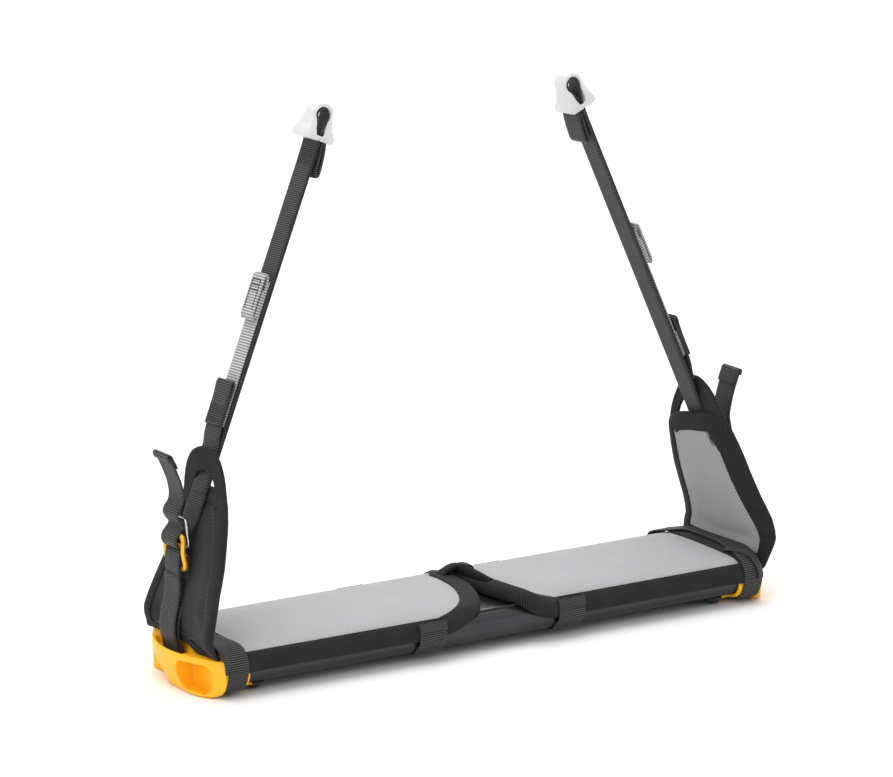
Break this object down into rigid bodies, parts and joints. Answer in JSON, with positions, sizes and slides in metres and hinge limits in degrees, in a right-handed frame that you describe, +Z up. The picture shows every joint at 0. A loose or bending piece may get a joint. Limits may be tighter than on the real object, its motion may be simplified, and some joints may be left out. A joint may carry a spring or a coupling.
{
  "type": "suspension work seat",
  "caption": "Rigid suspended seat: hollow metal plate with plastic end caps, padded mesh halves, folding side wings and adjustable webbing side straps.",
  "frame": {"origin": "centre of the plate's underside", "axes": "+X along the seat, to the right seen from the front, -Y towards the bullnose front, +Z up towards the hanging eyes"},
  "size_m": [0.524, 0.1254, 0.4246],
  "materials": {
    "plate": "dark anodised, satin",
    "cap": "moulded, fine texture",
    "steel": "plain",
    "rivet": "black",
    "pad": "spacer mesh with black binding",
    "wing": "mesh inside, felt outside, black binding",
    "binding": "twill binding",
    "webbing": "ribbed webbing",
    "pale_webbing": "ribbed webbing",
    "buckle": "golden anodised",
    "thimble": "translucent white"
  },
  "bodies": {
    "seat": {"seat_plate": "plate", "end_cap_left": "cap", "end_cap_right": "cap", "anchor_bar_left": "steel", "anchor_bar_right": "steel", "cap_rivets": "rivet", "seat_pad_left": "pad", "seat_pad_right": "pad", "pad_loop": "webbing", "mid_band_left": "webbing", "mid_band_right": "webbing", "end_band_left": "webbing", "end_band_right": "webbing", "anchor_loop_left": "webbing", "anchor_loop_right": "webbing"},
    "side_left": {"anchor_strap_left": "webbing", "wing_left": "wing", "wing_loop_left": "binding", "strap_strand_left": "webbing"},
    "strap_left": {"main_strap_left": "webbing", "keeper_left": "webbing", "thimble_left": "thimble"},
    "pale_left": {"pale_strap_left": "pale_webbing"},
    "buckle_left": {"buckle_frame_left": "buckle", "strap_tail_left": "webbing"},
    "side_right": {"anchor_strap_right": "webbing", "wing_right": "wing", "wing_loop_right": "binding", "strap_strand_right": "webbing"},
    "strap_right": {"main_strap_right": "webbing", "keeper_right": "webbing", "thimble_right": "thimble"},
    "pale_right": {"pale_strap_right": "pale_webbing"},
    "buckle_right": {"buckle_frame_right": "buckle", "strap_tail_right": "webbing"}
  },
  "joints": [
    {"name": "side_fold_left", "type": "hinge", "parent": "seat", "child": "side_left", "pos_m": [-0.2511, 0.0045, 0.033], "axis": [0, -1, 0], "range_deg": [-15, 80]},
    {"name": "strap_adjust_left", "type": "slide", "parent": "side_left", "child": "strap_left", "axis": [0.3923, 0.0433, 0.9188], "range_m": [0, 0.03]},
    {"name": "pale_slide_left", "type": "slide", "parent": "strap_left", "child": "pale_left", "axis": [0.3923, 0.0433, 0.9188], "range_m": [-0.003, 0.003]},
    {"name": "buckle_tilt_left", "type": "hinge", "parent": "side_left", "child": "buckle_left", "pos_m": [-0.2446, 0.0045, 0.0826], "axis": [0, -1, 0], "range_deg": [-3, 20]},
    {"name": "side_fold_right", "type": "hinge", "parent": "seat", "child": "side_right", "pos_m": [0.2511, 0.0045, 0.033], "axis": [0, 1, 0], "range_deg": [-15, 80]},
    {"name": "strap_adjust_right", "type": "slide", "parent": "side_right", "child": "strap_right", "axis": [-0.3923, 0.0433, 0.9188], "range_m": [0, 0.03]},
    {"name": "pale_slide_right", "type": "slide", "parent": "strap_right", "child": "pale_right", "axis": [-0.3923, 0.0433, 0.9188], "range_m": [-0.003, 0.003]},
    {"name": "buckle_tilt_right", "type": "hinge", "parent": "side_right", "child": "buckle_right", "pos_m": [0.2446, 0.0045, 0.0826], "axis": [0, 1, 0], "range_deg": [-3, 20]}
  ]
}
